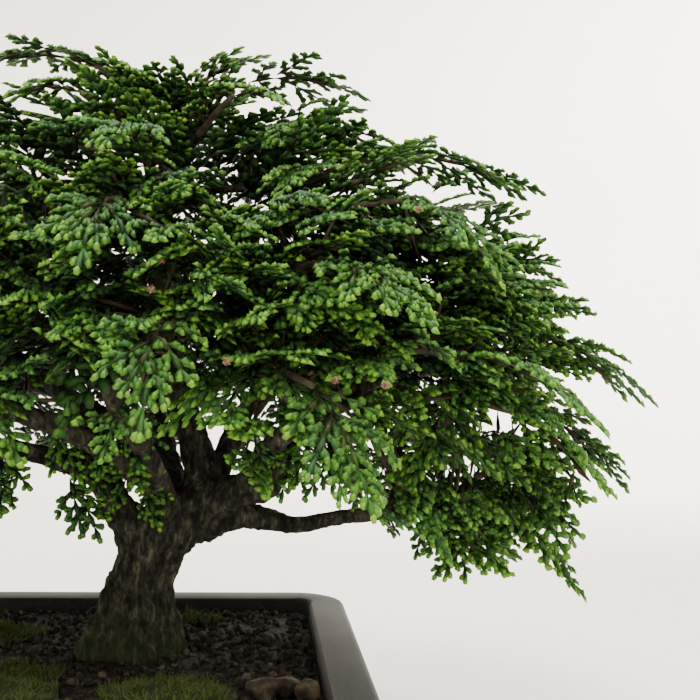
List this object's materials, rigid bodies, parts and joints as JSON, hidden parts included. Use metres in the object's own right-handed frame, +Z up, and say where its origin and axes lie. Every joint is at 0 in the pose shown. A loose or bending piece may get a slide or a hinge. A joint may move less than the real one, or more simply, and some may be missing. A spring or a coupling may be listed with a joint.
{
  "type": "hinoki cypress bonsai in a rectangular pot",
  "caption": "Small hinoki cypress bonsai: a wide dome of layered fan-shaped sprays on a flared, leaning trunk, in a low rectangular dark grey pot with moss on its soil.",
  "frame": {"origin": "on the surface it stands on, under the centre of the whole object's box", "axes": "+Z up, +X to the viewer's right along the pot's long side, -Y towards the viewer"},
  "size_m": [0.3206, 0.224, 0.2586],
  "materials": {
    "pot": "unglazed, matte, dark grey",
    "soil": "granular, damp, very dark brown",
    "drainage_mesh": "black plastic grid",
    "wood": "rough, flaking brown bark",
    "foliage": "scale leaves, satin, deep green with yellow-green tips",
    "moss": "soft olive green tufts",
    "pebbles": "worn tan pebbles"
  },
  "bodies": {
    "root": {"drainage_mesh_left": "drainage_mesh", "drainage_mesh_right": "drainage_mesh", "foliage_crown_back": "foliage", "foliage_crown_left": "foliage", "foliage_crown_right": "foliage", "foliage_right_hang": "foliage", "foliage_right_reach": "foliage", "foliage_tier1_1": "foliage", "foliage_tier1_2": "foliage", "foliage_tier1_3": "foliage", "foliage_tier1_4": "foliage", "foliage_tier1_5": "foliage", "foliage_tier1_6": "foliage", "foliage_tier1_7": "foliage", "foliage_tier1_8": "foliage", "foliage_tier2_1": "foliage", "foliage_tier2_2": "foliage", "foliage_tier2_3": "foliage", "foliage_tier2_4": "foliage", "foliage_tier2_5": "foliage", "foliage_tier2_6": "foliage", "foliage_tier2_7": "foliage", "foliage_tier2_8": "foliage", "foliage_tier3_1": "foliage", "foliage_tier3_2": "foliage", "foliage_tier3_3": "foliage", "foliage_tier3_4": "foliage", "foliage_tier3_5": "foliage", "foliage_tier3_6": "foliage", "foliage_tier3_7": "foliage", "foliage_tier3_8": "foliage", "foliage_tier4_1": "foliage", "foliage_tier4_2": "foliage", "foliage_tier4_3": "foliage", "foliage_tier4_4": "foliage", "foliage_tier4_5": "foliage", "foliage_tier4_6": "foliage", "foliage_tier4_7": "foliage", "foliage_tier5_1": "foliage", "foliage_tier5_2": "foliage", "foliage_tier5_3": "foliage", "foliage_tier5_4": "foliage", "foliage_tier5_5": "foliage", "foliage_tier5_6": "foliage", "foliage_tier6_1": "foliage", "foliage_tier6_2": "foliage", "foliage_tier6_3": "foliage", "foliage_tier6_4": "foliage", "foliage_tier6_5": "foliage", "foliage_tier6_6": "foliage", "moss_front": "moss", "moss_front_right": "moss", "moss_left": "moss", "pebbles": "pebbles", "pot": "pot", "soil": "soil", "trunk_and_branches": "wood"}
  },
  "joints": []
}
